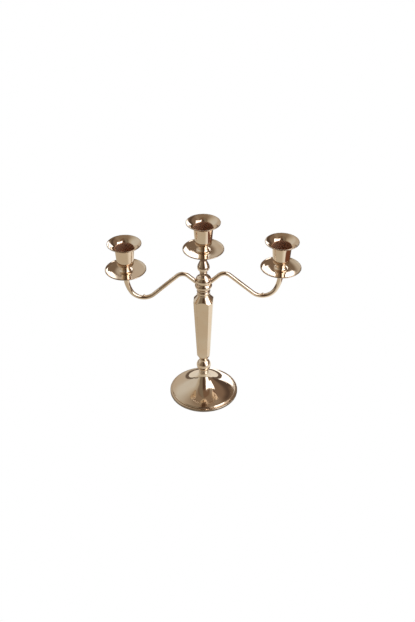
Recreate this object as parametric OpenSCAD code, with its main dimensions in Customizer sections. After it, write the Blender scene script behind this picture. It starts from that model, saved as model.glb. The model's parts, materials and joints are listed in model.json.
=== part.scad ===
// Three-light tabletop candelabra, in millimetres.
// The origin is at the centre of the underside, +Z is up, and the arms reach out along -X (left) and +X (right).
// Every piece of the stem is threaded on one tie rod; the arms carry their own studs for the side lights.

/* [Base] */
// Diameter of the base over its edge
base_d = 94; // [80:1:120]
// Height of the base, up to the top of its neck
base_h = 32.5; // [28:0.5:40]
// Diameter of the base's neck
base_neck_d = 12.8; // [11:0.1:16]
// Height of the upright edge of the base
base_edge_h = 3.4; // [2:0.1:6]
// Width of the ledge inside the upright edge
base_ledge_w = 3.2; // [2:0.1:5]
// Height of the bead on the ledge, from which the flare rises
base_bead_h = 2.4; // [1:0.1:4]
// Wall of the spun base shell
base_wall = 2.2; // [1.5:0.1:3.5]
// Thickness of the felt disc under the base
felt_t = 1.6; // [1:0.1:3]
// How far the felt stands out below the base's edge
felt_proud = 0.4; // [0.2:0.1:1]

/* [Stem] */
// Height of the ringed collar on the base's neck
collar_h = 5; // [4:0.1:8]
// Diameter of the collar's rings
collar_d = 13.8; // [12:0.1:18]
// Diameter of the ball knop
knop_d = 19.4; // [16:0.1:26]
// Height of the straight foot under the ball
knop_foot_h = 1.3; // [0.5:0.1:4]
// Height of the neck and the bead on top of the ball
knop_head_h = 3; // [2.6:0.1:6]
// Height of the tapered column
column_h = 104.5; // [80:0.5:140]
// Width across the column's flats at its upper shoulder
column_top_w = 25.1; // [21:0.1:30]
// Width across the column's flats at its lower shoulder
column_foot_w = 16.9; // [14:0.1:20]
// Width of the column's corner bevels, as a share of a full square's side
column_bevel = 0.18; // [0.1:0.01:0.28]
// How far the column's faces are turned away from the arms
column_turn = -7.5; // [-45:0.5:45]
// Diameter of the round ends of the column's shoulders
column_neck_d = 15.8; // [14:0.1:19]
// Slope of the upper shoulder, from level
shoulder_slope = 50; // [35:1:65]
// Diameter of the round end at the column's foot
column_foot_d = 11.6; // [10:0.1:15]
// Height of the ringed neck between the column and the hub
neck_h = 10; // [7:0.1:14]
// Diameter of the ringed neck
neck_d = 16.8; // [13:0.1:19]

/* [Branch] */
// Height of the groove between the hub's bulge and its dome
hub_groove_z = 9.6; // [8:0.1:13]
// Height of the neck on the hub's dome
hub_neck_h = 5; // [3.6:0.1:9]
// Diameter of the hub's lower bulge
hub_d = 22.4; // [19:0.1:28]
// Diameter of the hub's dome
hub_dome_d = 20.6; // [17:0.1:26]
// Diameter of the hub's top, under the baluster
hub_top_d = 9.4; // [8:0.1:12]
// Distance from the stem's axis to a side light's axis
arm_reach = 99; // [75:0.5:130]
// Diameter of an arm at the hub
arm_root_d = 5.6; // [5:0.1:8]
// Diameter of an arm below its light
arm_tip_d = 7.5; // [6:0.1:10]
// Slope at which an arm leaves the hub
arm_rise_slope = 42.5; // [30:0.5:55]
// Slope of an arm's long fall
arm_fall_slope = 42; // [30:0.5:55]
// Length of an arm's first straight, from the hub's centre line of sockets
arm_rise_l = 17.4; // [10:0.5:22]
// Radius of the arm's crest
arm_crest_r = 10.3; // [8:0.1:16]
// Radius of the arm's lowest bend
arm_bend_r = 18.8; // [14:0.1:26]
// Slope at which the lowest bend passes into the upper bend
arm_upper_slope = 63; // [50:1:75]
// Radius of the arm's upper bend, which ends upright
arm_upper_r = 47.5; // [30:0.5:70]
// Diameter of the small bead on top of an arm at its lowest point
arm_bead_d = 3.2; // [2:0.1:5]
// Height of the seat on an arm's tip, under the drip pan
seat_h = 8.3; // [7:0.1:12]
// Diameter of the top of a seat, under a drip pan
seat_d = 15; // [12:0.1:20]
// Height of the baluster under the middle light
baluster_h = 32; // [26:0.5:44]
// Greatest diameter of the baluster
baluster_d = 16; // [13:0.1:20]
// Diameter of the baluster's slim waist
baluster_waist_d = 8.4; // [8:0.1:11]

/* [Lights] */
// Diameter of the candles
candle_d = 22; // [19:0.1:25]
// Play between a candle and its socket, on the diameter
candle_play = 0.6; // [0.2:0.1:1]
// Wall of a candle cup at its throat
cup_wall = 1.1; // [0.8:0.1:2]
// Height of a candle cup
cup_h = 40.3; // [34:0.1:50]
// How far a cup's flared rim stands out from its throat
cup_flare_w = 10.5; // [8:0.1:14]
// Depth of the flare, from the rim to the throat
cup_flare_h = 7.5; // [6:0.1:11]
// Length of the socket's true cylinder
socket_l = 6.5; // [5:0.1:10]
// How much narrower a cup's body is at its rounded bottom than at its throat, on the radius
cup_taper = 1.6; // [0.4:0.1:3]
// Height of a cup's foot and neck, under its body
cup_foot_h = 9; // [8.5:0.1:14]
// Diameter of a cup's foot
cup_foot_d = 18; // [15:0.1:22]
// Diameter of a cup's neck
cup_neck_d = 11.4; // [10:0.1:14]
// Diameter of a drip pan over its rim
pan_d = 52.8; // [44:0.1:64]
// Thickness of a drip pan
pan_t = 1.2; // [1:0.1:2.5]

/* [Rod and studs] */
// Thread diameter of the tie rod and the studs, M6
thread_d = 6; // [5:0.1:7]
// Length of thread held in a cup, one turn for each millimetre
thread_grip = 7; // [5:0.5:8]
// Running clearance of a turning piece on the rod or a stud, on the radius
running_gap = 0.05; // [0.02:0.01:0.1]
// Clearance of a fixed piece around the rod, on the radius
rod_gap = 0.3; // [0.1:0.05:0.6]
// Clearance between the faces of a turning piece and its seat
face_gap = 0.1; // [0.05:0.01:0.3]
// Width across the flats of the nut
nut_w = 10; // [8:0.5:13]
// Thickness of the nut
nut_t = 5; // [4:0.1:7]
// Diameter of the washer
washer_d = 13; // [12:0.1:18]
// Thickness of the washer
washer_t = 1.2; // [0.8:0.1:2]

/* [Hidden] */
$fn = 96;
plating = [0.80, 0.64, 0.51];
steel = [0.62, 0.62, 0.64];
felt = [0.12, 0.11, 0.11];
thread_r = thread_d / 2;

// Hub: the arms' sockets cross the groove between its bulge and its dome
groove_r = hub_dome_d / 2 - 1;
dome_r = hub_dome_d / 2;
dome_z = hub_groove_z + 0.6;
cap_r = dome_r * 0.62;
cap_end = 62;
cap_z = dome_z + 2.6;
hub_lip = [dome_r - cap_r + cap_r * cos(cap_end), cap_z + cap_r * sin(cap_end)];
hub_h = hub_lip[1] + hub_neck_h;
arm_root_s = 7;
socket_play = 0.01;

// Levels of the stem's joints, from the table up
collar_z = base_h;
knop_z = collar_z + collar_h;
knop_r = knop_d / 2;
knop_foot_r = collar_d / 2 - 0.9;
knop_neck_r = column_foot_d / 2 - 0.4;
knop_centre = knop_foot_h + sqrt(knop_r * knop_r - knop_foot_r * knop_foot_r);
knop_h = knop_centre + sqrt(knop_r * knop_r - knop_neck_r * knop_neck_r) + knop_head_h;
column_z = knop_z + knop_h;
neck_z = column_z + column_h;
hub_z = neck_z + neck_h + face_gap;
baluster_z = hub_z + hub_h + face_gap;
centre_pan_z = baluster_z + baluster_h + face_gap;

// Base: the boss that the nut pulls against, and the flare's end slopes
boss_drop = 15.5;
boss_z = base_h - boss_drop;
boss_join_h = 6;
boss_r = washer_d / 2 + 1;
flare_rim_slope = 15;
flare_mid_slope = 38;
flare_neck_slope = 82;

// Seat: the stud's hole stops this high above the arm's tip
stud_z = 1.5;

// Cup: levels above the drip pan's floor
throat_r = (candle_d + candle_play) / 2;
throat_z = cup_h - cup_flare_h;
socket_z = throat_z - socket_l;
cup_floor_z = cup_foot_h + 2.2;
cup_bottom_r = throat_r + cup_wall - cup_taper;
tapped_h = thread_grip + 0.6;
lip_r = cup_wall / 2;

// Drip pan: its dish is a shallow arc that tightens towards the rim
pan_flat_r = max(cup_foot_d, seat_d) / 2 + 1;
pan_lip_r = pan_t / 2;
dish_r = 60;
dish_edge_r = 5;
dish_edge_slope = 45;
dish_w = (pan_d / 2 - pan_flat_r - pan_lip_r - (dish_edge_r + pan_lip_r) * sin(dish_edge_slope))
         / (1 - dish_edge_r / dish_r);

// Points on an arc about c in a profile's plane, from angle a to angle b
function arc(c, r, a, b, n = 12) = [for (i = [0:n]) c + r * [cos(a + (b - a) * i / n), sin(a + (b - a) * i / n)]];

// Radii of two arcs that climb h over a run of w, through the slopes a, m and e
function two_radii(w, h, a, m, e) =
    let (p = sin(m) - sin(a), q = sin(e) - sin(m), s = cos(a) - cos(m), t = cos(m) - cos(e), d = p * t - q * s)
    [(w * t - h * q) / d, (h * p - w * s) / d];

// Profile of a hollow flare that starts at p and climbs inwards through the slopes a, m and e;
// side is 0 for its upper face, and grows to the wall's thickness for its lower face
function flare(p, radii, a, m, e, side) =
    let (c1 = p + radii[0] * [sin(a), cos(a)],
         q = c1 + radii[0] * [-sin(m), -cos(m)],
         c2 = q + radii[1] * [sin(m), cos(m)])
    concat(arc(c1, radii[0] + side, 270 - a, 270 - m, 20), arc(c2, radii[1] + side, 270 - m, 270 - e, 16));

module turned(points) {
    rotate_extrude() polygon(points);
}

module rod_hole(gap, h) {
    translate([0, 0, -1]) cylinder(r = thread_r + gap, h = h + 2);
}

// ---- Base ----
module base_shell() {
    r = base_d / 2;
    ledge_r = r - base_ledge_w;
    start = [ledge_r - 0.6, base_edge_h + base_bead_h];
    run = start[0] - base_neck_d / 2;
    rise = base_h - start[1];
    radii = two_radii(run, rise, flare_rim_slope, flare_mid_slope, flare_neck_slope);
    upper = flare(start, radii, flare_rim_slope, flare_mid_slope, flare_neck_slope, 0);
    lower = flare(start, radii, flare_rim_slope, flare_mid_slope, flare_neck_slope, base_wall);
    under = [for (p = lower) if (p[0] > boss_r && p[1] < boss_z + boss_join_h) p];
    difference() {
        turned(concat(
            [[boss_r, boss_z], [thread_r, boss_z], [thread_r, base_h], [base_neck_d / 2, base_h]],
            [for (i = [len(upper) - 1:-1:0]) upper[i]],
            arc([ledge_r - 0.6, base_edge_h + 0.9], 0.9, 60, -60, 6),
            [[ledge_r, base_edge_h]],
            arc([r - 0.8, base_edge_h - 0.8], 0.8, 90, 0, 5),
            [[r, felt_proud], [r - base_wall, felt_proud], [r - base_wall, felt_t], [ledge_r - base_wall, felt_t]],
            under));
        rod_hole(rod_gap, base_h);
    }
}
module base() {
    color(plating) base_shell();
}
module base_felt() {
    color(felt) cylinder(r = base_d / 2 - base_wall - 0.2, h = felt_t);
}
module base_washer() {
    color(steel) translate([0, 0, boss_z - washer_t]) difference() {
        cylinder(d = washer_d, h = washer_t);
        rod_hole(rod_gap, washer_t);
    }
}
module base_nut() {
    color(steel) translate([0, 0, boss_z - washer_t - nut_t]) difference() {
        intersection() {
            cylinder(d = nut_w / cos(30), h = nut_t, $fn = 6);
            turned([[0, 0], [nut_w / 2, 0], [nut_w / 2 + 0.9, 0.8], [nut_w / 2 + 0.9, nut_t - 0.8],
                    [nut_w / 2, nut_t], [0, nut_t]]);
        }
        rod_hole(0, nut_t);
    }
}
module tie_rod() {
    rod_z = boss_z - washer_t - nut_t - 2;
    rod_top = centre_pan_z + pan_t + thread_grip;
    color(steel) translate([0, 0, rod_z]) turned([[0, 0], [thread_r - 0.6, 0], [thread_r, 0.6],
        [thread_r, rod_top - rod_z - 0.6], [thread_r - 0.6, rod_top - rod_z], [0, rod_top - rod_z]]);
}

// ---- Stem ----
// A collar of two rings with a groove between them
module base_collar() {
    ring = collar_h * 0.24;
    edge = collar_d / 2 - ring;
    color(plating) translate([0, 0, collar_z]) difference() {
        turned(concat([[0, 0]], arc([edge, ring], ring, -90, 90, 10), [[edge - 0.5, collar_h / 2]],
            arc([edge, collar_h - ring], ring, -90, 90, 10), [[0, collar_h]]));
        rod_hole(rod_gap, collar_h);
    }
}
module ball_knop() {
    bead_r = 0.95;
    low = -acos(knop_foot_r / knop_r);
    high = acos(knop_neck_r / knop_r);
    color(plating) translate([0, 0, knop_z]) difference() {
        turned(concat([[0, 0], [knop_foot_r, 0]], arc([0, knop_centre], knop_r, low, high, 36),
            [[knop_neck_r, knop_h - 2.2 * bead_r - 0.1]],
            arc([knop_neck_r - 0.5, knop_h - bead_r - 0.15], bead_r, -60, 60, 8), [[0, knop_h]]));
        rod_hole(rod_gap, knop_h);
    }
}

// Corners of a square with bevelled corners, w across its flats
function bevelled_points(w) =
    let (h = w / 2, k = h * (1 - 2 * column_bevel))
    [[h, -k], [h, k], [k, h], [-k, h], [-h, k], [-h, -k], [-k, -h], [k, -h]];

// The tapered bar, cut off by a turned shoulder at each end
module column() {
    shoulder_w = 6.5;
    foot_rise = 8.4;
    slope = (column_top_w - column_foot_w) / (column_h - shoulder_w - foot_rise);
    low_w = column_foot_w - slope * foot_rise;
    high_w = column_top_w + slope * shoulder_w;
    low = [for (p = bevelled_points(low_w)) [p[0], p[1], 0]];
    high = [for (p = bevelled_points(high_w)) [p[0], p[1], column_h]];
    sides = [for (i = [0:7]) [i, (i + 1) % 8, 8 + (i + 1) % 8, 8 + i]];
    corner_r = high_w * 0.62;
    corner_drop = (corner_r - column_neck_d / 2) * tan(shoulder_slope);
    foot_r = column_foot_d / 2;
    color(plating) translate([0, 0, column_z]) difference() {
        intersection() {
            rotate(column_turn) polyhedron(concat(low, high),
                concat([[0, 1, 2, 3, 4, 5, 6, 7]], [for (f = sides) [f[3], f[2], f[1], f[0]]],
                       [[15, 14, 13, 12, 11, 10, 9, 8]]));
            turned([[0, 0], [foot_r, 0], [foot_r + 0.6, 1.4], [foot_r + 2, 4], [foot_r + 5.2, foot_rise + 1.6],
                    [corner_r, foot_rise + 12], [corner_r, column_h - corner_drop],
                    [column_neck_d / 2, column_h - 0.4], [column_neck_d / 2, column_h], [0, column_h]]);
        }
        rod_hole(rod_gap, column_h);
    }
}
module stem_neck() {
    r = neck_d / 2;
    ring = 1;
    bead = 0.6;
    bead_z = neck_h * 0.49;
    cove = (neck_h - ring - bead_z - bead) * 1.6;
    color(plating) translate([0, 0, neck_z]) difference() {
        turned(concat([[0, 0]], arc([r - ring / 2, ring], ring, -90, 90, 8),
            [[r - 0.2, bead_z - 0.7]], arc([r + 0.1, bead_z], bead, 250, 110, 6), [[r - 0.1, bead_z + 0.7]],
            arc([r + cove, neck_h - ring], cove, 205, 180, 6),
            arc([r - 0.2, neck_h - bead], bead, 0, 90, 4), [[0, neck_h]]));
        rod_hole(rod_gap, neck_h);
    }
}

// ---- Branch ----
// The arm's centre line runs in a plane through the stem's axis: s outwards, z up
arm_root = [arm_root_s, hub_z + hub_groove_z + (arm_root_s - groove_r) * tan(arm_rise_slope)];
rise_end = arm_root + arm_rise_l * [cos(arm_rise_slope), sin(arm_rise_slope)];
crest_c = rise_end + arm_crest_r * [sin(arm_rise_slope), -cos(arm_rise_slope)];
fall_start = crest_c + arm_crest_r * [sin(arm_fall_slope), cos(arm_fall_slope)];
bend_run = arm_bend_r * (sin(arm_fall_slope) + sin(arm_upper_slope));
upper_run = arm_upper_r * (1 - sin(arm_upper_slope));
fall_l = (arm_reach - fall_start[0] - bend_run - upper_run) / cos(arm_fall_slope);
fall_end = fall_start + fall_l * [cos(arm_fall_slope), -sin(arm_fall_slope)];
bend_c = fall_end + arm_bend_r * [sin(arm_fall_slope), cos(arm_fall_slope)];
upper_start = bend_c + arm_bend_r * [sin(arm_upper_slope), -cos(arm_upper_slope)];
upper_c = upper_start + arm_upper_r * [-sin(arm_upper_slope), cos(arm_upper_slope)];
arm_tip = [arm_reach, upper_c[1]];

// Stations along the arm: [s, z, direction of travel]
function stations(c, r, a, b, turn, n) =
    [for (i = [1:n]) let (t = a + (b - a) * i / n) [c[0] + r * cos(t), c[1] + r * sin(t), t + turn]];
arm_line = concat(
    [[arm_root[0], arm_root[1], arm_rise_slope], [rise_end[0], rise_end[1], arm_rise_slope]],
    stations(crest_c, arm_crest_r, 90 + arm_rise_slope, 90 - arm_fall_slope, -90, 12),
    [for (i = [1:3]) let (p = fall_start + (fall_end - fall_start) * i / 3) [p[0], p[1], -arm_fall_slope]],
    stations(bend_c, arm_bend_r, 270 - arm_fall_slope, 270 + arm_upper_slope, 90, 16),
    stations(upper_c, arm_upper_r, arm_upper_slope - 90, 0, 90, 6));
arm_sides = 24;
arm_low = [bend_c[0], bend_c[1] - arm_bend_r];

// An arm keeps its root's diameter as far as its lowest point, and thickens as it climbs to its light
function arm_r(p) =
    (arm_root_d + (arm_tip_d - arm_root_d) * (p[0] > arm_low[0] ? (p[1] - arm_low[1]) / (arm_tip[1] - arm_low[1]) : 0)) / 2;

module arm() {
    last = len(arm_line) - 1;
    points = [for (i = [0:last], j = [0:arm_sides - 1])
        let (p = arm_line[i], a = 360 * j / arm_sides,
             u = arm_r(p) * cos(a))
        [p[0] - u * sin(p[2]), arm_r(p) * sin(a), p[1] + u * cos(p[2])]];
    walls = [for (i = [0:last - 1], j = [0:arm_sides - 1])
        let (k = (j + 1) % arm_sides)
        [i * arm_sides + k, (i + 1) * arm_sides + k, (i + 1) * arm_sides + j, i * arm_sides + j]];
    ends = [[for (j = [arm_sides - 1:-1:0]) j], [for (j = [0:arm_sides - 1]) last * arm_sides + j]];
    union() {
        polyhedron(points, concat(walls, ends));
        translate([arm_low[0], 0, arm_low[1] + arm_root_d / 2 + 0.2]) sphere(d = arm_bead_d, $fn = 32);
    }
}
module left_arm() {
    color(plating) mirror([1, 0, 0]) arm();
}
module right_arm() {
    color(plating) arm();
}

// The turned hub: a bulge, a groove and a dome, with a slanting socket for each arm
module hub() {
    bulge_r = (hub_groove_z - 0.6) / 2;
    top_r = hub_top_d / 2;
    color(plating) translate([0, 0, hub_z]) difference() {
        turned(concat([[0, 0]],
            arc([hub_d / 2 - bulge_r, bulge_r], bulge_r, -90, 90, 20),
            [[groove_r, hub_groove_z - 0.4], [groove_r, hub_groove_z + 0.3]],
            arc([dome_r - 0.9, dome_z + 0.6], 0.9, -90, 0, 5),
            arc([dome_r - cap_r, cap_z], cap_r, 0, cap_end, 14),
            [[hub_lip[0] - 1.1, hub_lip[1] + 1.2]],
            [[top_r + 0.2, hub_h - 2.6], [top_r, hub_h - 1.4], [top_r + 0.3, hub_h - 0.5], [top_r + 0.2, hub_h],
             [0, hub_h]]));
        rod_hole(running_gap, hub_h);
        for (side = [0, 1]) mirror([side, 0, 0])
            translate([arm_root[0], 0, arm_root[1] - hub_z]) rotate([0, 90 - arm_rise_slope, 0])
                cylinder(d = arm_root_d + 2 * socket_play, h = arm_rise_l);
    }
}

// A seat flares from an arm's tip to carry the drip pan, and holds the stud
module seat() {
    tip_r = arm_tip_d / 2;
    top_r = seat_d / 2;
    cove = min(top_r - tip_r, seat_h - 2.2);
    difference() {
        turned(concat([[0, 0], [tip_r, 0]],
            arc([tip_r + cove, seat_h - 1 - cove], cove, 180, 90, 12),
            [[top_r, seat_h - 1], [top_r, seat_h], [0, seat_h]]));
        translate([0, 0, stud_z]) cylinder(r = thread_r, h = seat_h);
    }
}
module stud() {
    h = seat_h - stud_z + face_gap + pan_t + thread_grip;
    translate([0, 0, stud_z]) turned([[0, 0], [thread_r, 0], [thread_r, h - 0.6], [thread_r - 0.6, h], [0, h]]);
}
module at_tip(side) {
    translate([side * arm_tip[0], 0, arm_tip[1]]) children();
}
module left_seat() {
    color(plating) at_tip(-1) seat();
}
module right_seat() {
    color(plating) at_tip(1) seat();
}
module left_stud() {
    color(steel) at_tip(-1) stud();
}
module right_stud() {
    color(steel) at_tip(1) stud();
}

// The baluster screws down on the rod and keeps the hub in place
module baluster() {
    r = baluster_d / 2;
    waist_r = baluster_waist_d / 2;
    belly_z = 8.2;
    belly_r = 5.4;
    shoulder_r = 10;
    lean = 24;
    turn = [r - shoulder_r * (1 - cos(lean)), belly_z + shoulder_r * sin(lean)];
    waist_z = turn[1] + (turn[0] - waist_r) / tan(lean);
    top_r = seat_d / 2;
    cove = top_r - waist_r;
    color(plating) translate([0, 0, baluster_z]) difference() {
        turned(concat([[0, 0]], arc([waist_r, 0.8], 0.8, -90, 90, 6),
            arc([r - belly_r, belly_z], belly_r, -68, 0, 14), arc([r - shoulder_r, belly_z], shoulder_r, 0, lean, 6),
            [[waist_r + 0.4, waist_z - 0.7], [waist_r, waist_z + 0.8]],
            arc([waist_r + cove, baluster_h - 1 - cove], cove, 180, 90, 12),
            [[top_r, baluster_h - 1], [top_r, baluster_h], [0, baluster_h]]));
        rod_hole(0, baluster_h);
    }
}

// ---- Lights ----
// The dish's upper face, from the flat to the lip; side shifts it down to the lower face
function dish(side) =
    let (a = asin(dish_w / dish_r), c = [pan_flat_r, pan_t + dish_r], q = c + dish_r * [sin(a), -cos(a)],
         e = q + dish_edge_r * [-sin(a), cos(a)])
    concat(arc(c, dish_r + side, 270, 270 + a, 16), arc(e, dish_edge_r + side, 270 + a, 270 + dish_edge_slope, 8));
module drip_pan() {
    upper = dish(0);
    lower = dish(pan_t);
    last = len(upper) - 1;
    lip = (upper[last] + lower[last]) / 2;
    difference() {
        turned(concat([[0, 0]], lower, arc(lip, pan_lip_r, dish_edge_slope - 80, dish_edge_slope + 80, 10),
            [for (i = [last:-1:0]) upper[i]], [[0, pan_t]]));
        rod_hole(running_gap, pan_t);
    }
}

// The flare of a candle cup: two arcs from the throat out to the rim; side is 0 inside, cup_wall outside
function cup_flare(side) =
    let (first_slope = 42, rim_slope = 20, w = cup_flare_w - lip_r * (1 + sin(rim_slope)),
         h = cup_flare_h - lip_r * (1 - cos(rim_slope)),
         radii = two_radii(h, w, 0, 90 - first_slope, 90 - rim_slope),
         c1 = [throat_r + radii[0], throat_z], q = c1 + radii[0] * [-sin(first_slope), cos(first_slope)],
         c2 = q + radii[1] * [sin(first_slope), -cos(first_slope)])
    concat(arc(c1, radii[0] - side, 180, 90 + first_slope, 8), arc(c2, radii[1] - side, 90 + first_slope, 90 + rim_slope, 14));
module candle_cup() {
    inner = cup_flare(0);
    outer = cup_flare(cup_wall);
    last = len(inner) - 1;
    rim = (inner[last] + outer[last]) / 2;
    foot_r = cup_foot_d / 2;
    neck_r = cup_neck_d / 2;
    cove = 3.4;
    corner = 2.4;
    difference() {
        turned(concat([[0, 0], [foot_r, 0], [foot_r, 0.7]],
            arc([neck_r + cove, 0.9 + cove], cove, 270, 180, 10),
            [[neck_r, cup_foot_h - 1.6], [neck_r + 1, cup_foot_h - 0.5]],
            arc([cup_bottom_r - corner, cup_foot_h + corner], corner, -90, -4, 8),
            [for (i = [0:last]) outer[i]],
            arc(rim, lip_r, -80, 110, 8),
            [for (i = [last:-1:0]) inner[i]],
            [[throat_r, socket_z], [cup_bottom_r - 1.6, cup_floor_z + 1.2]],
            [[cup_bottom_r - 2.8, cup_floor_z], [0, cup_floor_z]]));
        translate([0, 0, -1]) cylinder(r = thread_r + running_gap, h = tapped_h + 1);
    }
}
module at_centre() {
    translate([0, 0, centre_pan_z]) children();
}
module at_side(side) {
    translate([side * arm_tip[0], 0, arm_tip[1] + seat_h + face_gap]) children();
}
module above_pan() {
    translate([0, 0, pan_t + face_gap / 2]) children();
}
module centre_pan() {
    color(plating) at_centre() drip_pan();
}
module left_pan() {
    color(plating) at_side(-1) drip_pan();
}
module right_pan() {
    color(plating) at_side(1) drip_pan();
}
module centre_cup() {
    color(plating) at_centre() above_pan() candle_cup();
}
module left_cup() {
    color(plating) at_side(-1) above_pan() candle_cup();
}
module right_cup() {
    color(plating) at_side(1) above_pan() candle_cup();
}

base();
base_felt();
base_washer();
base_nut();
tie_rod();
base_collar();
ball_knop();
column();
stem_neck();
hub();
left_arm();
right_arm();
left_seat();
right_seat();
left_stud();
right_stud();
baluster();
centre_pan();
left_pan();
right_pan();
centre_cup();
left_cup();
right_cup();
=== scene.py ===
"""Finishes, threads, stage and camera for a three-light tabletop candelabra in polished champagne plating."""

import functools
import json
import math

import bpy
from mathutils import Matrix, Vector


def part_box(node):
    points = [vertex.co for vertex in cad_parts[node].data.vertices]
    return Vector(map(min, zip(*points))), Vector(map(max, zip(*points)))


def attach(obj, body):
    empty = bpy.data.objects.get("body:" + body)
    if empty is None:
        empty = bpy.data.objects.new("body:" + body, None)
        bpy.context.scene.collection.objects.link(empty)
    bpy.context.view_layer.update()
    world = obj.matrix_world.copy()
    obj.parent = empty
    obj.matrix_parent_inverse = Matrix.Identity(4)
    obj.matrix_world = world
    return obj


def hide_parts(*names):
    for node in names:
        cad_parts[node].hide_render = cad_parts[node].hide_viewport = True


bl_info = {
    "name": "Tabletop Candelabra",
    "version": (1, 0, 0),
    "blender": (4, 5, 0),
    "location": "View3D > Sidebar > Candelabra",
    "description": "Finishes a three-light candelabra, cuts its threads and sets it on a pale stage",
    "category": "Object",
}

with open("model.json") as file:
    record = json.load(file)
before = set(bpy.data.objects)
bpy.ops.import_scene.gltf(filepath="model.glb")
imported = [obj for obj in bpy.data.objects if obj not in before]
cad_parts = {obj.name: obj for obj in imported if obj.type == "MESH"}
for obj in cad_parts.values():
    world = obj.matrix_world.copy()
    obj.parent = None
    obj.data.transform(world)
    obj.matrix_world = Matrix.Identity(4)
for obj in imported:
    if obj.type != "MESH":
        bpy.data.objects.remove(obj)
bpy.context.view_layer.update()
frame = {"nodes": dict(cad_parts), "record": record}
NODES = frame["nodes"]

# Where the lights' axes stand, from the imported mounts
SOCKETS = {m["name"]: Vector(m["pos_m"]) for m in frame["record"]["mounts"]}
LEFT_AXIS = SOCKETS["left_socket"].x
RIGHT_AXIS = SOCKETS["right_socket"].x

# Shares of a cup's height where its inner floor and its throat lie
CUP_FLOOR_SHARE = 0.28
CUP_THROAT_SHARE = 0.814

STEM_NODES = ("base_collar", "ball_knop", "stem_neck", "hub", "baluster")
ARM_NODES = ("left_arm", "right_arm")

WHITE = (1.0, 1.0, 1.0, 1.0)

# How rough the clean plating is, and what each kind of mark adds to it
CLEAN_ROUGHNESS = 0.035
SMUDGE_ROUGHNESS = 0.075
SCRATCH_ROUGHNESS = 0.10
WEAR_ROUGHNESS = 0.06
RESIDUE_ROUGHNESS = 0.30
LINING_ROUGHNESS = 0.12
RING_ROUGHNESS = 0.03

# How far worn edges and residue hide the plating's colour, and how much less metallic the lining is
WEAR_SHARE = 0.7
RESIDUE_SHARE = 0.75
LINING_DULLNESS = 0.6

# Vertices this close are joined before smoothing; an edge that turns by more than the angle stays sharp
JOIN_DISTANCE = 0.000002
SHARP_ANGLE = math.radians(27)

# The threaded rods: faces round them, levels in a turn, chamfer at the ends and the least radius there
ROD_SIDES = 40
LEVELS_PER_TURN = 10
ROD_CHAMFER = 0.0006
ROD_TIP_RADIUS = 0.0005
THREAD_SHARP_ANGLE = math.radians(50)
# A groove is this deep at its middle, in thread depths before it is cut off at one, and loses this
# much depth over one pitch
GROOVE_MIDDLE = 1.25
GROOVE_SLOPE = 2.7


# ---- Sizes and colours that a user may change ----


class CandelabraPlating(bpy.types.PropertyGroup):
    """Polished champagne plating."""

    colour: bpy.props.FloatVectorProperty(
        name="Plating", description="Colour of the clean plating", subtype="COLOR",
        size=4, min=0.0, max=1.0, default=(0.86, 0.745, 0.62, 1.0))
    rosy_colour: bpy.props.FloatVectorProperty(
        name="Rosy patches", description="Colour where the plating is a little thicker", subtype="COLOR",
        size=4, min=0.0, max=1.0, default=(0.85, 0.70, 0.56, 1.0))
    residue_colour: bpy.props.FloatVectorProperty(
        name="Residue", description="Colour of old polish in the grooves", subtype="COLOR",
        size=4, min=0.0, max=1.0, default=(0.36, 0.25, 0.17, 1.0))
    worn_colour: bpy.props.FloatVectorProperty(
        name="Worn edges", description="Colour of the edges where the plating is thin and has tarnished",
        subtype="COLOR", size=4, min=0.0, max=1.0, default=(0.30, 0.22, 0.155, 1.0))
    lining_colour: bpy.props.FloatVectorProperty(
        name="Socket lining", description="Colour that wax and heat give the inside of a candle socket",
        subtype="COLOR", size=4, min=0.0, max=1.0, default=(0.46, 0.245, 0.15, 1.0))
    patch_size: bpy.props.FloatProperty(
        name="Patch size", description="Size of the patches of colour", unit="LENGTH", subtype="DISTANCE",
        default=0.022, min=0.002, max=0.2)
    ring_spacing: bpy.props.FloatProperty(
        name="Ring spacing", description="Distance between the polishing rings of a turned piece",
        unit="LENGTH", subtype="DISTANCE", default=0.0004, min=0.00005, max=0.005)
    ring_depth: bpy.props.FloatProperty(
        name="Ring depth", description="Depth of the polishing rings", unit="LENGTH", subtype="DISTANCE",
        default=0.0000012, min=0.0, max=0.0005, precision=6)
    wave_length: bpy.props.FloatProperty(
        name="Wave length", description="Length of the soft waves that hand polishing leaves",
        unit="LENGTH", subtype="DISTANCE", default=0.009, min=0.001, max=0.05)
    wave_depth: bpy.props.FloatProperty(
        name="Wave depth", description="Depth of the soft waves that hand polishing leaves",
        unit="LENGTH", subtype="DISTANCE", default=0.000012, min=0.0, max=0.0005, precision=6)


class CandelabraThreads(bpy.types.PropertyGroup):
    """Threads of the tie rod and the studs."""

    pitch: bpy.props.FloatProperty(
        name="Pitch", description="Height of one turn", unit="LENGTH", subtype="DISTANCE",
        default=0.001, min=0.0005, max=0.002)
    depth: bpy.props.FloatProperty(
        name="Depth", description="Depth of the thread, from crest to root", unit="LENGTH",
        subtype="DISTANCE", default=0.0006, min=0.0001, max=0.001)
    length: bpy.props.FloatProperty(
        name="Length", description="Length of thread at each end of the rod", unit="LENGTH",
        subtype="DISTANCE", default=0.016, min=0.005, max=0.05)
    colour: bpy.props.FloatVectorProperty(
        name="Zinc", description="Colour of the zinc plating", subtype="COLOR", size=4, min=0.0, max=1.0,
        default=(0.60, 0.60, 0.61, 1.0))
    oil_colour: bpy.props.FloatVectorProperty(
        name="Oil", description="Colour of the oily film on the zinc", subtype="COLOR", size=4, min=0.0,
        max=1.0, default=(0.47, 0.44, 0.38, 1.0))


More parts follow.
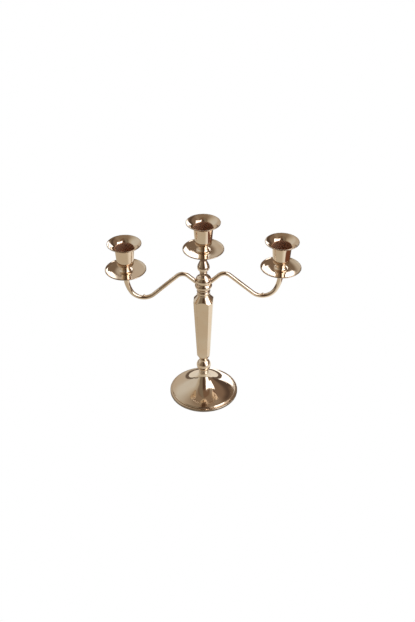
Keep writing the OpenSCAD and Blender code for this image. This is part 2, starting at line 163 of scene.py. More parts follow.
class CandelabraFelt(bpy.types.PropertyGroup):
    """Felt disc under the base."""

    colour: bpy.props.FloatVectorProperty(
        name="Felt", description="Colour of the wool", subtype="COLOR", size=4, min=0.0, max=1.0,
        default=(0.035, 0.031, 0.029, 1.0))
    lint_colour: bpy.props.FloatVectorProperty(
        name="Lint", description="Colour of the pale fibres in the wool", subtype="COLOR", size=4, min=0.0,
        max=1.0, default=(0.115, 0.105, 0.095, 1.0))
    fibre: bpy.props.FloatProperty(
        name="Fibre", description="Spacing of the fibres", unit="LENGTH", subtype="DISTANCE",
        default=0.0006, min=0.0001, max=0.003)


class CandelabraStage(bpy.types.PropertyGroup):
    """Floor, table and camera."""

    floor_size: bpy.props.FloatProperty(
        name="Floor", description="Width of the floor", unit="LENGTH", subtype="DISTANCE",
        default=4.0, min=0.5, max=20.0)
    table_colour: bpy.props.FloatVectorProperty(
        name="Table", description="Light that the metal sees coming up from the table", subtype="COLOR",
        size=4, min=0.0, max=1.0, default=(0.88, 0.84, 0.75, 1.0))
    shaded_table_colour: bpy.props.FloatVectorProperty(
        name="Shaded table",
        description="Light that the metal sees coming up from the table on the side away from the lamp",
        subtype="COLOR", size=4, min=0.0, max=1.0, default=(0.53, 0.47, 0.365, 1.0))
    camera_place: bpy.props.FloatVectorProperty(
        name="Camera", description="Where the camera stands", subtype="TRANSLATION", unit="LENGTH",
        size=3, default=(-0.0191, -0.9346, 0.7888))
    camera_turn: bpy.props.FloatVectorProperty(
        name="Camera angles", description="How the camera is turned", subtype="EULER", unit="ROTATION",
        size=3, default=(math.radians(55.06), 0.0, math.radians(-1.49)))
    lens: bpy.props.FloatProperty(
        name="Lens", description="Focal length of the camera, in millimetres", default=50.0, min=10.0,
        max=300.0)


# ---- Building node trees ----


class Graph:
    """Adds nodes to one tree and links them; an input may be a plain value or another node's output."""

    def __init__(self, tree):
        self.tree = tree
        self.count = 0

    def node(self, kind, **settings):
        made = self.tree.nodes.new(kind)
        made.location = (180 * (self.count // 8), -160 * (self.count % 8))
        self.count += 1
        for name, value in settings.items():
            setattr(made, name, value)
        return made

    def feed(self, socket, value):
        if isinstance(value, bpy.types.NodeSocket):
            self.tree.links.new(value, socket)
        elif value is not None:
            socket.default_value = value

    def math(self, operation, a, b=None, c=None):
        made = self.node("ShaderNodeMath", operation=operation)
        for socket, value in zip(made.inputs, (a, b, c)):
            self.feed(socket, value)
        return made.outputs[0]

    def ramp(self, value, low, high, to_low=0.0, to_high=1.0):
        """A smooth step from to_low at low to to_high at high."""
        made = self.node("ShaderNodeMapRange", interpolation_type="SMOOTHSTEP")
        for name, given in (("Value", value), ("From Min", low), ("From Max", high),
                            ("To Min", to_low), ("To Max", to_high)):
            self.feed(made.inputs[name], given)
        return made.outputs["Result"]

    def blend(self, share, a, b, kind="MIX"):
        made = self.node("ShaderNodeMix", data_type="RGBA", blend_type=kind)
        self.feed(made.inputs[0], share)
        self.feed(made.inputs[6], a)
        self.feed(made.inputs[7], b)
        return made.outputs[2]

    def noise(self, vector, scale, detail=2.0, roughness=0.5, dimensions="3D"):
        made = self.node("ShaderNodeTexNoise", noise_dimensions=dimensions)
        if dimensions == "1D":
            self.feed(made.inputs["W"], vector)
        else:
            self.feed(made.inputs["Vector"], vector)
        self.feed(made.inputs["Scale"], scale)
        self.feed(made.inputs["Detail"], detail)
        self.feed(made.inputs["Roughness"], roughness)
        return made.outputs["Fac"]

    def own_place(self):
        """Where a point of the surface lies on its piece, in metres."""
        return self.node("ShaderNodeTexCoord").outputs["Object"]

    def split(self, vector):
        """The X, Y and Z of a vector."""
        made = self.node("ShaderNodeSeparateXYZ")
        self.feed(made.inputs[0], vector)
        return made.outputs

    def place(self, group, **values):
        made = self.node("ShaderNodeGroup", node_tree=group)
        for name, value in values.items():
            self.feed(made.inputs[name.replace("_", " ")], value)
        return made.outputs


def new_group(name, inputs, outputs):
    """A shader node group with its sockets; returns the group, its graph, and its input and output nodes."""
    group = bpy.data.node_groups.new(name, "ShaderNodeTree")
    for kind, sockets in (("INPUT", inputs), ("OUTPUT", outputs)):
        for socket, (socket_type, default) in sockets.items():
            made = group.interface.new_socket(name=socket, in_out=kind, socket_type=socket_type)
            if default is not None:
                made.default_value = default
    graph = Graph(group)
    return group, graph, graph.node("NodeGroupInput").outputs, graph.node("NodeGroupOutput").inputs


FLOAT = "NodeSocketFloat"


def built_once(name):
    """Lets a function build the node group of that name once, and hands out the same group after that."""
    def wrap(build):
        @functools.wraps(build)
        def group():
            return bpy.data.node_groups.get(name) or build(name)
        return group
    return wrap


def axis_distance(g, x, y):
    """Distance from an upright axis, from the distances to it along X and along Y."""
    return g.math("SQRT", g.math("ADD", g.math("MULTIPLY", x, x), g.math("MULTIPLY", y, y)))


@built_once("Turned polishing rings")
def turned_marks(name):
    """Rings that a polishing wheel leaves round the axis of a turned piece."""
    group, g, given, out = new_group(
        name, {"Axis X": (FLOAT, 0.0), "Spacing": (FLOAT, 0.0004)}, {"Rings": (FLOAT, None)})
    place = g.split(g.own_place())
    x = g.math("SUBTRACT", place["X"], given["Axis X"])
    radius = axis_distance(g, x, place["Y"])
    turn = g.math("ARCTAN2", place["Y"], x)
    along = g.node("ShaderNodeCombineXYZ")
    g.feed(along.inputs["X"], g.math("DIVIDE", radius, given["Spacing"]))
    g.feed(along.inputs["Y"], g.math("DIVIDE", place["Z"], given["Spacing"]))
    g.feed(along.inputs["Z"], g.math("MULTIPLY", g.math("SINE", turn), 0.6))
    g.feed(out["Rings"], g.noise(along.outputs[0], scale=1.0, detail=3.0, roughness=0.6))
    return group


@built_once("Hand polish")
def hand_polish(name):
    """Soft waves, smudges and fine scratches that hand polishing and handling leave."""
    group, g, given, out = new_group(
        name, {"Wave Length": (FLOAT, 0.009), "Patch Size": (FLOAT, 0.022)},
        {"Waves": (FLOAT, None), "Smudges": (FLOAT, None), "Scratches": (FLOAT, None),
         "Patches": (FLOAT, None)})
    place = g.own_place()
    waves = g.noise(place, g.math("DIVIDE", 1.0, given["Wave Length"]), detail=0.0)
    g.feed(out["Waves"], waves)
    patch_scale = g.math("DIVIDE", 1.0, given["Patch Size"])
    patches = g.noise(place, patch_scale, detail=3.0, roughness=0.55)
    g.feed(out["Patches"], g.ramp(patches, 0.36, 0.66))
    prints = g.noise(place, g.math("MULTIPLY", patch_scale, 1.7), detail=5.0, roughness=0.7)
    g.feed(out["Smudges"], g.ramp(prints, 0.53, 0.68))
    stretch = g.node("ShaderNodeMapping", vector_type="POINT")
    stretch.inputs["Rotation"].default_value = (0.7, 0.35, 0.5)
    stretch.inputs["Scale"].default_value = (2600.0, 90.0, 220.0)
    g.feed(stretch.inputs["Vector"], place)
    lines = g.noise(stretch.outputs[0], scale=1.0, detail=1.0)
    g.feed(out["Scratches"], g.ramp(lines, 0.70, 0.80))
    return group


@built_once("Crevice residue")
def crevice_residue(name):
    """Old polish that stays in the grooves, found from how enclosed the surface is."""
    group, g, given, out = new_group(
        name, {"Reach": (FLOAT, 0.0025), "Patch Size": (FLOAT, 0.004)}, {"Residue": (FLOAT, None)})
    closed = g.node("ShaderNodeAmbientOcclusion", samples=4, only_local=True)
    g.feed(closed.inputs["Distance"], given["Reach"])
    depth = g.ramp(closed.outputs["AO"], 0.72, 0.30)
    place = g.own_place()
    broken = g.noise(place, g.math("DIVIDE", 1.0, given["Patch Size"]), detail=4.0, roughness=0.65)
    g.feed(out["Residue"], g.math("MULTIPLY", depth, g.ramp(broken, 0.30, 0.62, 0.35, 1.0)))
    return group


@built_once("Edge wear")
def edge_wear(name):
    """Edges where thin plating has tarnished, found from how fast the surface turns."""
    group, g, given, out = new_group(
        name, {"Width": (FLOAT, 0.0008), "Patch Size": (FLOAT, 0.006)}, {"Wear": (FLOAT, None)})
    rounded = g.node("ShaderNodeBevel", samples=4)
    g.feed(rounded.inputs["Radius"], given["Width"])
    straight = g.node("ShaderNodeNewGeometry").outputs["Normal"]
    across = g.node("ShaderNodeVectorMath", operation="DOT_PRODUCT")
    g.feed(across.inputs[0], rounded.outputs["Normal"])
    g.feed(across.inputs[1], straight)
    edge = g.ramp(across.outputs["Value"], 0.995, 0.90)
    place = g.own_place()
    broken = g.noise(place, g.math("DIVIDE", 1.0, given["Patch Size"]), detail=3.0, roughness=0.6)
    g.feed(out["Wear"], g.math("MULTIPLY", edge, g.ramp(broken, 0.35, 0.6, 0.25, 1.0)))
    return group


@built_once("Rim tarnish")
def rim_tarnish(name):
    """Tarnish along the outermost lip of a turned piece, where the plating is thin and fingers rub it."""
    group, g, given, out = new_group(
        name, {"Axis X": (FLOAT, 0.0), "Rim": (FLOAT, 0.02), "Width": (FLOAT, 0.0011)},
        {"Tarnish": (FLOAT, None)})
    place = g.own_place()
    xyz = g.split(place)
    radius = axis_distance(g, g.math("SUBTRACT", xyz["X"], given["Axis X"]), xyz["Y"])
    inward = g.math("DIVIDE", g.math("SUBTRACT", given["Rim"], radius), given["Width"])
    broken = g.noise(place, scale=180.0, detail=3.0, roughness=0.6)
    lip = g.ramp(inward, 1.25, 0.65)
    g.feed(out["Tarnish"], g.math("MULTIPLY", lip, g.ramp(broken, 0.3, 0.6, 0.65, 1.0)))
    return group


@built_once("Socket lining")
def socket_lining(name):
    """The inside of a candle socket, which wax and heat leave dull; round one light's axis.

    Radius is the middle of the wall at the throat, and Taper how much it shrinks for each unit below.
    """
    group, g, given, out = new_group(
        name, {"Axis X": (FLOAT, 0.0), "Radius": (FLOAT, 0.0119), "Taper": (FLOAT, 0.0864),
               "Floor": (FLOAT, 0.0), "Throat": (FLOAT, 0.0)},
        {"Lining": (FLOAT, None)})
    place = g.own_place()
    xyz = g.split(place)
    radius = axis_distance(g, g.math("SUBTRACT", xyz["X"], given["Axis X"]), xyz["Y"])
    depth = g.math("MAXIMUM", g.math("SUBTRACT", given["Throat"], xyz["Z"]), 0.0)
    mid_wall = g.math("SUBTRACT", given["Radius"], g.math("MULTIPLY", depth, given["Taper"]))
    inside = g.math("LESS_THAN", radius, mid_wall)
    above = g.math("GREATER_THAN", xyz["Z"], given["Floor"])
    broken = g.noise(place, scale=90.0)
    lined = g.math("MULTIPLY", inside, above)
    g.feed(out["Lining"], g.math("MULTIPLY", lined, g.ramp(broken, 0.2, 0.7, 0.7, 1.0)))
    return group


# ---- Finishes ----


def new_material(name):
    made = bpy.data.materials.new(name)
    made.use_nodes = True
    made.node_tree.nodes.clear()
    g = Graph(made.node_tree)
    shader = g.node("ShaderNodeBsdfPrincipled")
    end = g.node("ShaderNodeOutputMaterial")
    made.node_tree.links.new(shader.outputs[0], end.inputs[0])
    return made, g, shader


def bump(g, height, distance, under=None):
    made = g.node("ShaderNodeBump")
    made.inputs["Strength"].default_value = 1.0
    made.inputs["Distance"].default_value = distance
    g.feed(made.inputs["Height"], height)
    g.feed(made.inputs["Normal"], under)
    return made.outputs["Normal"]


def plating(name, axis_x=0.0, rings=True, wave=1.0, rim_of=None, cup=None):
    """Champagne plating; rings run round axis_x, rim_of names a node with a lip, cup one with a socket."""
    p = bpy.context.scene.candelabra_plating
    made, g, shader = new_material(name)
    hand = g.place(hand_polish(), Wave_Length=p.wave_length, Patch_Size=p.patch_size)
    residue = g.place(crevice_residue())["Residue"]
    wear = g.place(edge_wear())["Wear"]
    if rim_of is not None:
        low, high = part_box(rim_of)
        tarnish = g.place(rim_tarnish(), Axis_X=axis_x, Rim=(high.x - low.x) / 2)["Tarnish"]
        wear = g.math("MAXIMUM", wear, tarnish)
    shader.inputs["Metallic"].default_value = 1.0
    lining = None
    if cup is not None:
        low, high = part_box(cup)
        tall = high.z - low.z
        lining = g.place(socket_lining(), Axis_X=axis_x, Floor=low.z + CUP_FLOOR_SHARE * tall,
                         Throat=low.z + CUP_THROAT_SHARE * tall)["Lining"]
        residue = g.math("MULTIPLY", residue, g.math("LESS_THAN", lining, 0.1))
    colour = g.blend(hand["Patches"], tuple(p.colour), tuple(p.rosy_colour))
    colour = g.blend(g.math("MULTIPLY", wear, WEAR_SHARE), colour, tuple(p.worn_colour))
    colour = g.blend(g.math("MULTIPLY", residue, RESIDUE_SHARE), colour, tuple(p.residue_colour))
    rough = g.math("MULTIPLY_ADD", hand["Smudges"], SMUDGE_ROUGHNESS, CLEAN_ROUGHNESS)
    rough = g.math("MULTIPLY_ADD", hand["Scratches"], SCRATCH_ROUGHNESS, rough)
    rough = g.math("MULTIPLY_ADD", wear, WEAR_ROUGHNESS, rough)
    rough = g.math("MULTIPLY_ADD", residue, RESIDUE_ROUGHNESS, rough)
    if lining is not None:
        colour = g.blend(lining, colour, tuple(p.lining_colour))
        g.feed(shader.inputs["Metallic"], g.math("MULTIPLY_ADD", lining, -LINING_DULLNESS, 1.0))
        rough = g.math("MULTIPLY_ADD", lining, LINING_ROUGHNESS, rough)
    g.feed(shader.inputs["Base Color"], colour)
    normal = bump(g, hand["Waves"], p.wave_depth * wave)
    if rings:
        marks = g.place(turned_marks(), Axis_X=axis_x, Spacing=p.ring_spacing)["Rings"]
        rough = g.math("MULTIPLY_ADD", marks, RING_ROUGHNESS, rough)
        normal = bump(g, marks, p.ring_depth, normal)
    g.feed(shader.inputs["Roughness"], rough)
    g.feed(shader.inputs["Normal"], normal)
    return made


def zinc(name, axis_x):
    t = bpy.context.scene.candelabra_threads
    made, g, shader = new_material(name)
    hand = g.place(hand_polish(), Wave_Length=0.002, Patch_Size=0.006)
    residue = g.place(crevice_residue(), Reach=0.0006, Patch_Size=0.002)["Residue"]
    marks = g.place(turned_marks(), Axis_X=axis_x, Spacing=0.00022)["Rings"]
    film = g.math("MAXIMUM", g.math("MULTIPLY", hand["Patches"], 0.55), residue)
    g.feed(shader.inputs["Base Color"], g.blend(film, tuple(t.colour), tuple(t.oil_colour)))
    shader.inputs["Metallic"].default_value = 1.0
    rough = g.math("MULTIPLY_ADD", marks, 0.14, 0.20)
    g.feed(shader.inputs["Roughness"], g.math("MULTIPLY_ADD", hand["Smudges"], 0.16, rough))
    g.feed(shader.inputs["Normal"], bump(g, marks, 0.000008))
    return made


def felt(name):
    f = bpy.context.scene.candelabra_felt
    made, g, shader = new_material(name)
    place = g.own_place()
    matted = g.noise(place, 1.0 / f.fibre, detail=4.0, roughness=0.7)
    pull = g.node("ShaderNodeMapping", vector_type="POINT")
    pull.inputs["Rotation"].default_value = (0.0, 0.0, 0.6)
    pull.inputs["Scale"].default_value = (2200.0, 300.0, 900.0)
    g.feed(pull.inputs["Vector"], place)
    fibres = g.noise(pull.outputs[0], scale=1.0, roughness=0.6)
    worn = g.noise(place, scale=70.0, detail=3.0, roughness=0.6)
    lint = g.math("MULTIPLY", g.ramp(fibres, 0.52, 0.72), g.ramp(matted, 0.35, 0.65))
    colour = g.blend(lint, tuple(f.colour), tuple(f.lint_colour))
    g.feed(shader.inputs["Base Color"], g.blend(g.ramp(worn, 0.45, 0.75, 0.0, 0.35), colour,
                                                tuple(f.lint_colour)))
    g.feed(shader.inputs["Roughness"], g.ramp(matted, 0.2, 0.8, 0.86, 0.98))
    shader.inputs["Sheen Weight"].default_value = 0.35
    shader.inputs["Sheen Roughness"].default_value = 0.5
    height = g.math("ADD", g.math("MULTIPLY", matted, 0.6), g.math("MULTIPLY", fibres, 0.4))
    g.feed(shader.inputs["Normal"], bump(g, height, 0.00025))
    return made


@built_once("Smooth turned surface")
def smooth_group(name):
    """Joins the strips of a turned surface and smooths all but its real edges."""
    group = bpy.data.node_groups.new(name, "GeometryNodeTree")
    group.interface.new_socket(name="Geometry", in_out="INPUT", socket_type="NodeSocketGeometry")
    group.interface.new_socket(name="Geometry", in_out="OUTPUT", socket_type="NodeSocketGeometry")
    group.is_modifier = True
    g = Graph(group)
    shape = g.node("NodeGroupInput").outputs[0]
    joined = g.node("GeometryNodeMergeByDistance")
    g.feed(joined.inputs["Geometry"], shape)
    joined.inputs["Distance"].default_value = JOIN_DISTANCE
    angle = g.node("GeometryNodeInputMeshEdgeAngle").outputs["Unsigned Angle"]
    soft = g.node("FunctionNodeCompare", data_type="FLOAT", operation="LESS_THAN")
    g.feed(soft.inputs[0], angle)
    soft.inputs[1].default_value = SHARP_ANGLE
    faces = g.node("GeometryNodeSetShadeSmooth", domain="FACE")
    g.feed(faces.inputs["Geometry"], joined.outputs["Geometry"])
    faces.inputs["Shade Smooth"].default_value = True
    edges = g.node("GeometryNodeSetShadeSmooth", domain="EDGE")
    g.feed(edges.inputs["Geometry"], faces.outputs["Geometry"])
    g.feed(edges.inputs["Shade Smooth"], soft.outputs[0])
    g.feed(g.node("NodeGroupOutput").inputs[0], edges.outputs["Geometry"])
    return group


def finish_node(name, material):
    """Gives a CAD node its finish and smooths its shading; its shape stays as it is."""
    piece = NODES[name]
    piece.data.materials.clear()
    piece.data.materials.append(material)
    stored = piece.data.attributes.get("custom_normal")
    if stored is not None:
        piece.data.attributes.remove(stored)
    modifier = piece.modifiers.new("Smooth turned surface", "NODES")
    modifier.node_group = smooth_group()
    return piece


# ---- Threads ----


def threaded_rod(name, node, threads):
    """A rod with a real helical thread; threads holds the lowest and highest level of each cut length."""
    t = bpy.context.scene.candelabra_threads
    low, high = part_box(node)
    axis = (low + high) / 2
    rod_radius = (high.x - low.x) / 2
    levels = []
    z = low.z
    while z < high.z - 1e-7:
        levels.append(z)
        cut = any(a - t.pitch <= z <= b + t.pitch for a, b in threads)
        z += t.pitch / LEVELS_PER_TURN if cut else t.pitch
    levels.append(high.z)

    def radius_at(level, turn):
        chamfer = rod_radius - ROD_CHAMFER + min(level - low.z, high.z - level)
        share = 0.0
        for a, b in threads:
            fade = min(level - a, b - level) / t.pitch
            share = max(share, min(1.0, max(0.0, fade)))
        phase = (level / t.pitch - turn / (2 * math.pi)) % 1.0
        groove = min(1.0, max(0.0, GROOVE_MIDDLE - GROOVE_SLOPE * abs(phase - 0.5)))
        return min(rod_radius - t.depth * share * groove, max(chamfer, ROD_TIP_RADIUS))

    points = []
    for level in levels:
        for j in range(ROD_SIDES):
            turn = 2 * math.pi * j / ROD_SIDES
            r = radius_at(level, turn)
            points.append((axis.x + r * math.cos(turn), axis.y + r * math.sin(turn), level))
    faces = []
    for i in range(len(levels) - 1):
        for j in range(ROD_SIDES):
            k = (j + 1) % ROD_SIDES
            below, above = i * ROD_SIDES, (i + 1) * ROD_SIDES
            faces.append((below + j, below + k, above + k, above + j))
    last = (len(levels) - 1) * ROD_SIDES
    faces.append(tuple(range(ROD_SIDES - 1, -1, -1)))
    faces.append(tuple(last + j for j in range(ROD_SIDES)))
    mesh = bpy.data.meshes.new(name)
    mesh.from_pydata(points, [], faces)
    mesh.shade_smooth()
    mesh.set_sharp_from_angle(angle=THREAD_SHARP_ANGLE)
    made = bpy.data.objects.new(name, mesh)
    bpy.context.scene.collection.objects.link(made)
    return made


# ---- Operators, one for each group of pieces ----


class CANDELABRA_OT_base(bpy.types.Operator):
    """Plates the base and finishes the felt, washer and nut under it"""

    bl_idname = "candelabra.base"
    bl_label = "Base"

    def execute(self, context):
        finish_node("base", plating("Champagne plating, base", wave=1.3, rim_of="base"))
        finish_node("base_felt", felt("Black wool felt"))
        steel = zinc("Zinc-plated steel, underside", 0.0)
        finish_node("base_washer", steel)
        finish_node("base_nut", steel)
        return {"FINISHED"}


class CANDELABRA_OT_stem(bpy.types.Operator):
    """Plates the turned pieces of the stem"""

    bl_idname = "candelabra.stem"
    bl_label = "Stem"

    def execute(self, context):
        turned = plating("Champagne plating, stem")
        for name in STEM_NODES:
            finish_node(name, turned)
        return {"FINISHED"}


class CANDELABRA_OT_column(bpy.types.Operator):
    """Plates the bevelled column"""

    bl_idname = "candelabra.column"
    bl_label = "Column"

    def execute(self, context):
        finish_node("column", plating("Champagne plating, column", rings=False, wave=1.6))
        return {"FINISHED"}


class CANDELABRA_OT_arms(bpy.types.Operator):
    """Plates the two curved arms"""

    bl_idname = "candelabra.arms"
    bl_label = "Arms"

    def execute(self, context):
        cast = plating("Champagne plating, arms", rings=False, wave=2.0)
        for name in ARM_NODES:
            finish_node(name, cast)
        return {"FINISHED"}


class CANDELABRA_OT_lights(bpy.types.Operator):
    """Plates the seats, drip pans and candle cups of the three lights"""

    bl_idname = "candelabra.lights"
    bl_label = "Lights"

    def execute(self, context):
        for side, axis_x in (("centre", 0.0), ("left", LEFT_AXIS), ("right", RIGHT_AXIS)):
            title = "Champagne plating, " + side
            pan = side + "_pan"
            cup = side + "_cup"
            finish_node(pan, plating(title + " pan", axis_x, rim_of=pan))
            finish_node(cup, plating(title + " cup", axis_x, rim_of=cup, cup=cup))
            if side != "centre":
                finish_node(side + "_seat", plating(title + " seat", axis_x))
        return {"FINISHED"}


class CANDELABRA_OT_threads(bpy.types.Operator):
    """Makes the tie rod and the studs of the side lights with real threads"""

    bl_idname = "candelabra.threads"
    bl_label = "Threads"

    def execute(self, context):
        length = context.scene.candelabra_threads.length
        low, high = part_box("tie_rod")
        rod = threaded_rod("threaded_tie_rod", "tie_rod",
                           [(low.z, low.z + length), (high.z - length, high.z)])
        rod.data.materials.append(zinc("Zinc-plated steel, rod", 0.0))
        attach(rod, "stand")
        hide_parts("tie_rod")
        for side, axis_x in (("left", LEFT_AXIS), ("right", RIGHT_AXIS)):
            low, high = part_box(side + "_stud")
            stud = threaded_rod(side + "_threaded_stud", side + "_stud", [(low.z, high.z)])
            stud.data.materials.append(zinc("Zinc-plated steel, " + side + " stud", axis_x))
            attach(stud, "branch")
            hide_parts(side + "_stud")
        return {"FINISHED"}


# The room that the polished metal mirrors, as panels seen from the stem. Azimuth 0 is towards the
# front, 90 towards +X; each panel has its centre and half width in azimuth, its lowest and highest
# elevation, how soft its border is, how ragged its top and bottom are, how much its top and bottom
# fall and how much its sides lean for each degree, and its light. All angles are in degrees.
ROOM_WALL = (0.44, 0.38, 0.30, 1.0)
ROOM_PANELS = (
    ("left wall", -92, 32, -30, 62, 12, 0, 0, 0, (0.49, 0.43, 0.33, 1.0)),
    ("far left wall", -130, 38, -30, 52, 12, 0, 0, 0, (0.62, 0.60, 0.54, 1.0)),
    ("back wall", -166, 16, -30, 62, 6, 8, 0, 0, (0.53, 0.47, 0.39, 1.0)),
    ("right wall", 122, 34, -30, 66, 10, 0, 0, 0, (0.22, 0.155, 0.11, 1.0)),
    ("dark corner", 144, 10, -30, 58, 7, 0, 0, 0, (0.095, 0.065, 0.048, 1.0)),
    ("above the window", 164, 19, 28, 66, 4, 9, 0.2, 0, (0.20, 0.145, 0.10, 1.0)),
    ("window", 166, 14, -30, 32, 1.5, 11, 0.35, 0, (2.2, 2.2, 2.2, 1.0)),
    ("table edge", -170, 62, -30, 6, 1.5, 3, 0, 0, (0.14, 0.105, 0.08, 1.0)),
    ("window bar", 162.5, 1.2, 8, 34, 0.9, 0, 0, 0.75, (0.10, 0.07, 0.05, 1.0)),
    ("ceiling", 0, 180, 66, 90, 10, 0, 0, 0, (0.26, 0.19, 0.13, 1.0)),
    ("front ceiling", 0, 75, 60, 90, 10, 0, 0, 0, (0.19, 0.12, 0.075, 1.0)),
    ("front left", -40, 26, -30, 90, 10, 0, 0, 0, (0.21, 0.17, 0.12, 1.0)),
    ("dark screen", 0, 20, -12, 74, 4, 3, 0, 0, (0.085, 0.052, 0.034, 1.0)),
    ("low lamp", 54, 18, -12, 46, 2, 1, 0, 0, (2.6, 2.55, 2.5, 1.0)),
    ("high lamp", 68, 34, 34, 62, 2, 4, 0.3, 0, (2.6, 2.55, 2.5, 1.0)),
)
# Elevation about which the sides of a leaning panel turn
LEAN_LEVEL = 20


def room_light(g, direction):
    """The light that comes from a direction, built from the room's panels."""
    xyz = g.split(direction)
    front = g.math("MULTIPLY", xyz["Y"], -1.0)
    degrees = 180 / math.pi
    azimuth = g.math("MULTIPLY", g.math("ARCTAN2", xyz["X"], front), degrees)
    elevation = g.math("MULTIPLY", g.math("ARCSINE", xyz["Z"]), degrees)
    border = g.noise(azimuth, scale=0.16, detail=3.0, roughness=0.65, dimensions="1D")
    ragged = g.math("SUBTRACT", border, 0.5)
    light = ROOM_WALL
    for name, centre, half, low, high, soft, rag, fall, lean, colour in ROOM_PANELS:
        side = g.math("WRAP", g.math("SUBTRACT", azimuth, centre), 180.0, -180.0)
        if lean:
            raised = g.math("SUBTRACT", elevation, LEAN_LEVEL)
            side = g.math("MULTIPLY_ADD", raised, lean, side)
        wide = g.ramp(g.math("ABSOLUTE", side), half + soft, half - soft)
        level = g.math("MULTIPLY_ADD", ragged, rag, elevation) if rag else elevation
        if fall:
            level = g.math("MULTIPLY_ADD", side, fall, level)
        above = g.ramp(level, low - soft, low + soft)
        below = g.ramp(level, high + soft, high - soft) if high < 90 else 1.0
        share = g.math("MULTIPLY", wide, g.math("MULTIPLY", above, below)) if half < 180 else above
        light = g.blend(share, light, colour)
        light.node.label = name
    return light


def white_to_camera(g, kind, mirrored):
    """A shader of that kind that is plain white to the camera, and mirrored to all other rays."""
    plain = g.node(kind)
    plain.inputs["Color"].default_value = WHITE
    mix = g.node("ShaderNodeMixShader")
    g.feed(mix.inputs[0], g.node("ShaderNodeLightPath").outputs["Is Camera Ray"])
    g.feed(mix.inputs[1], mirrored.outputs[0])
    g.feed(mix.inputs[2], plain.outputs[0])
    return mix.outputs[0]


# The floor lies this far under the felt, so that the two faces share no plane
FLOOR_GAP = 0.00005
# Under the foot the table keeps this share of its light, and all of it again at the second distance
FOOT_SHADE = 0.35
FOOT_SHADE_SPAN = (0.045, 0.062)
# The table goes from its shaded to its lit colour across this band, which slants towards the back
LAMP_BAND = (-0.12, 0.12)
LAMP_SLANT = 0.6
# A brown side table on the right; each border fades in over its span
SIDE_TABLE_COLOUR = (0.17, 0.065, 0.036, 1.0)
SIDE_TABLE_LEFT = (0.275, 0.30)
SIDE_TABLE_FRONT = (-0.23, -0.19)
SIDE_TABLE_BACK = (0.32, 0.28)
# The dark room past the table's edge, which comes closer behind the candelabra on the right
PAST_TABLE_COLOUR = (0.12, 0.08, 0.06, 1.0)
TABLE_EDGE = (0.46, 0.58)
NEARER_BY = 0.26
NEARER_BEHIND = (0.10, 0.25)
NEARER_RIGHT = (0.03, 0.12)


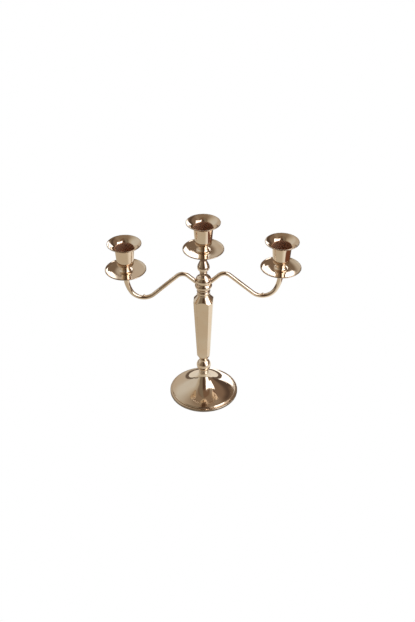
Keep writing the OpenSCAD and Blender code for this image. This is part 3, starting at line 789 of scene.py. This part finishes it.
class CANDELABRA_OT_stage(bpy.types.Operator):
    """Lays the pale floor, lights the room and sets up the camera"""

    bl_idname = "candelabra.stage"
    bl_label = "Stage"

    def execute(self, context):
        s = context.scene.candelabra_stage
        context.scene.view_settings.view_transform = "Standard"
        self.lay_floor(context, s)
        self.light_room(context)
        self.place_camera(context, s)
        return {"FINISHED"}

    def lay_floor(self, context, s):
        half = s.floor_size / 2
        mesh = bpy.data.meshes.new("floor")
        corners = [(-half, -half, 0), (half, -half, 0), (half, half, 0), (-half, half, 0)]
        mesh.from_pydata(corners, [], [(0, 1, 2, 3)])
        floor = bpy.data.objects.new("floor", mesh)
        floor.location.z = -FLOOR_GAP
        context.scene.collection.objects.link(floor)
        material = bpy.data.materials.new("Pale floor")
        material.use_nodes = True
        material.node_tree.nodes.clear()
        g = Graph(material.node_tree)
        place = g.own_place()
        xyz = g.split(place)
        away = g.node("ShaderNodeVectorMath", operation="LENGTH")
        g.feed(away.inputs[0], place)
        # Painted shadow: the floor's glow is dimmed round the foot, where the candelabra would shade the
        # table
        painted_foot_shadow = g.ramp(away.outputs["Value"], *FOOT_SHADE_SPAN, FOOT_SHADE, 1.0)
        towards_lamp = g.math("MULTIPLY_ADD", xyz["Y"], LAMP_SLANT, xyz["X"])
        lit = g.ramp(towards_lamp, *LAMP_BAND)
        seen = g.blend(lit, tuple(s.shaded_table_colour), tuple(s.table_colour))
        side_table = g.ramp(xyz["X"], *SIDE_TABLE_LEFT)
        side_table = g.math("MULTIPLY", side_table, g.ramp(xyz["Y"], *SIDE_TABLE_FRONT))
        side_table = g.math("MULTIPLY", side_table, g.ramp(xyz["Y"], *SIDE_TABLE_BACK))
        seen = g.blend(side_table, seen, SIDE_TABLE_COLOUR)
        nearer = g.ramp(xyz["Y"], *NEARER_BEHIND)
        nearer = g.math("MULTIPLY", nearer, g.ramp(xyz["X"], *NEARER_RIGHT))
        dim = g.ramp(g.math("MULTIPLY_ADD", nearer, NEARER_BY, away.outputs["Value"]), *TABLE_EDGE)
        seen = g.blend(dim, seen, PAST_TABLE_COLOUR)
        # To every ray but the camera's the floor glows with painted light: the table's lit and shaded sides,
        # a painted shadow round the foot, the side table and the dark room past its edge
        mirrored = g.node("ShaderNodeEmission")
        g.feed(mirrored.inputs["Color"], seen)
        g.feed(mirrored.inputs["Strength"], painted_foot_shadow)
        shown = white_to_camera(g, "ShaderNodeEmission", mirrored)
        g.feed(g.node("ShaderNodeOutputMaterial").inputs[0], shown)
        mesh.materials.append(material)

    def light_room(self, context):
        world = bpy.data.worlds.new("Studio room")
        context.scene.world = world
        world.use_nodes = True
        world.node_tree.nodes.clear()
        g = Graph(world.node_tree)
        direction = g.node("ShaderNodeTexCoord").outputs["Generated"]
        room = g.node("ShaderNodeBackground")
        g.feed(room.inputs["Color"], room_light(g, direction))
        shown = white_to_camera(g, "ShaderNodeBackground", room)
        g.feed(g.node("ShaderNodeOutputWorld").inputs[0], shown)

    def place_camera(self, context, s):
        data = bpy.data.cameras.new("camera")
        data.lens = s.lens
        data.sensor_width = 36.0
        data.clip_start = 0.01
        camera = bpy.data.objects.new("camera", data)
        camera.location = s.camera_place
        camera.rotation_euler = s.camera_turn
        context.scene.collection.objects.link(camera)
        context.scene.camera = camera


OPERATORS = (
    CANDELABRA_OT_base,
    CANDELABRA_OT_stem,
    CANDELABRA_OT_column,
    CANDELABRA_OT_arms,
    CANDELABRA_OT_lights,
    CANDELABRA_OT_threads,
    CANDELABRA_OT_stage,
)


class CANDELABRA_PT_panel(bpy.types.Panel):
    """Lists the candelabra's steps and settings"""

    bl_idname = "CANDELABRA_PT_panel"
    bl_label = "Candelabra"
    bl_space_type = "VIEW_3D"
    bl_region_type = "UI"
    bl_category = "Candelabra"

    def draw(self, context):
        for step in OPERATORS:
            self.layout.operator(step.bl_idname)
        for title, group in (("Plating", context.scene.candelabra_plating),
                             ("Threads", context.scene.candelabra_threads),
                             ("Felt", context.scene.candelabra_felt),
                             ("Stage", context.scene.candelabra_stage)):
            box = self.layout.box()
            box.label(text=title)
            for name in group.bl_rna.properties.keys():
                if name not in ("rna_type", "name"):
                    box.prop(group, name)


SETTINGS = {
    "candelabra_plating": CandelabraPlating,
    "candelabra_threads": CandelabraThreads,
    "candelabra_felt": CandelabraFelt,
    "candelabra_stage": CandelabraStage,
}
CLASSES = (*SETTINGS.values(), *OPERATORS, CANDELABRA_PT_panel)


def register():
    for made in CLASSES:
        bpy.utils.register_class(made)
    for name, group in SETTINGS.items():
        setattr(bpy.types.Scene, name, bpy.props.PointerProperty(type=group))


def unregister():
    for name in SETTINGS:
        delattr(bpy.types.Scene, name)
    for made in reversed(CLASSES):
        bpy.utils.unregister_class(made)


def main():
    register()
    bpy.ops.candelabra.base()
    bpy.ops.candelabra.stem()
    bpy.ops.candelabra.column()
    bpy.ops.candelabra.arms()
    bpy.ops.candelabra.lights()
    bpy.ops.candelabra.threads()
    bpy.ops.candelabra.stage()


if __name__ == "__main__":
    main()
